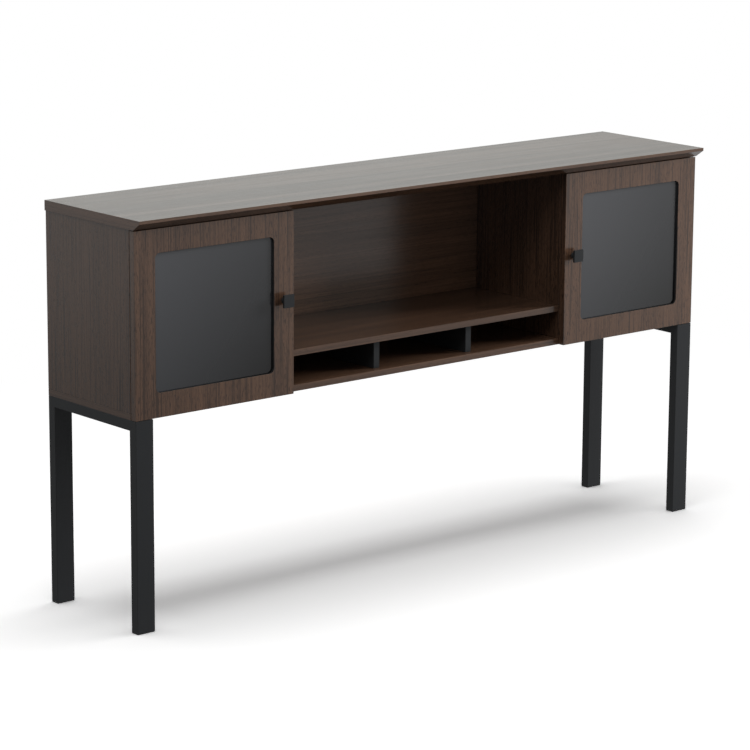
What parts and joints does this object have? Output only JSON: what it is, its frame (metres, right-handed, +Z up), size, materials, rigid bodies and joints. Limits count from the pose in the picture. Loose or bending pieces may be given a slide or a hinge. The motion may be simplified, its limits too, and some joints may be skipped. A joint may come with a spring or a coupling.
{
  "type": "storage hutch",
  "caption": "Long shallow wood cabinet raised on steel leg frames, with dark glazed hinged doors at its ends and an open middle bay with a shelf over low paper slots.",
  "frame": {"origin": "on the floor, under the middle of the box round the hutch", "axes": "+X along the length to the right as seen from the front, +Y to the back, +Z up"},
  "size_m": [1.829, 0.381, 0.9879],
  "materials": {
    "walnut_laminate": "dark walnut laminate with fine straight grain, satin",
    "charcoal_steel": "charcoal powder coat, matt, fine texture",
    "charcoal_board": "charcoal melamine, matt",
    "smoked_glass": "dark smoked, satin",
    "nickel_steel": "nickel plated",
    "black_plastic": "moulded, matt",
    "clear_rubber": "clear, soft"
  },
  "bodies": {
    "cabinet": {"top_panel": "walnut_laminate", "bottom_panel": "walnut_laminate", "back_panel": "walnut_laminate", "centre_shelf": "walnut_laminate", "slot_divider_1": "charcoal_board", "slot_divider_2": "charcoal_board", "left_end_panel": "walnut_laminate", "left_upright": "walnut_laminate", "left_leg_frame": "charcoal_steel", "left_front_foot": "black_plastic", "left_front_frame_bolt": "nickel_steel", "left_back_foot": "black_plastic", "left_back_frame_bolt": "nickel_steel", "left_upper_hinge_arm": "nickel_steel", "left_upper_hinge_plate": "nickel_steel", "left_lower_hinge_arm": "nickel_steel", "left_lower_hinge_plate": "nickel_steel", "right_end_panel": "walnut_laminate", "right_upright": "walnut_laminate", "right_leg_frame": "charcoal_steel", "right_front_foot": "black_plastic", "right_front_frame_bolt": "nickel_steel", "right_back_foot": "black_plastic", "right_back_frame_bolt": "nickel_steel", "right_upper_hinge_arm": "nickel_steel", "right_upper_hinge_plate": "nickel_steel", "right_lower_hinge_arm": "nickel_steel", "right_lower_hinge_plate": "nickel_steel"},
    "left_door": {"left_door_frame": "walnut_laminate", "left_glass": "smoked_glass", "left_glass_bead": "black_plastic", "left_knob": "charcoal_steel", "left_knob_screw": "nickel_steel", "left_upper_bumper": "clear_rubber", "left_upper_hinge_cup": "nickel_steel", "left_upper_hinge_pin": "nickel_steel", "left_lower_bumper": "clear_rubber", "left_lower_hinge_cup": "nickel_steel", "left_lower_hinge_pin": "nickel_steel"},
    "right_door": {"right_door_frame": "walnut_laminate", "right_glass": "smoked_glass", "right_glass_bead": "black_plastic", "right_knob": "charcoal_steel", "right_knob_screw": "nickel_steel", "right_upper_bumper": "clear_rubber", "right_upper_hinge_cup": "nickel_steel", "right_upper_hinge_pin": "nickel_steel", "right_lower_bumper": "clear_rubber", "right_lower_hinge_cup": "nickel_steel", "right_lower_hinge_pin": "nickel_steel"}
  },
  "joints": [
    {"name": "left_door_hinge", "type": "hinge", "parent": "cabinet", "child": "left_door", "pos_m": [-0.90518, -0.1565, 0.738], "axis": [0, 0, -1], "range_deg": [0, 105]},
    {"name": "right_door_hinge", "type": "hinge", "parent": "cabinet", "child": "right_door", "pos_m": [0.90518, -0.1565, 0.738], "axis": [0, 0, 1], "range_deg": [0, 105]}
  ]
}
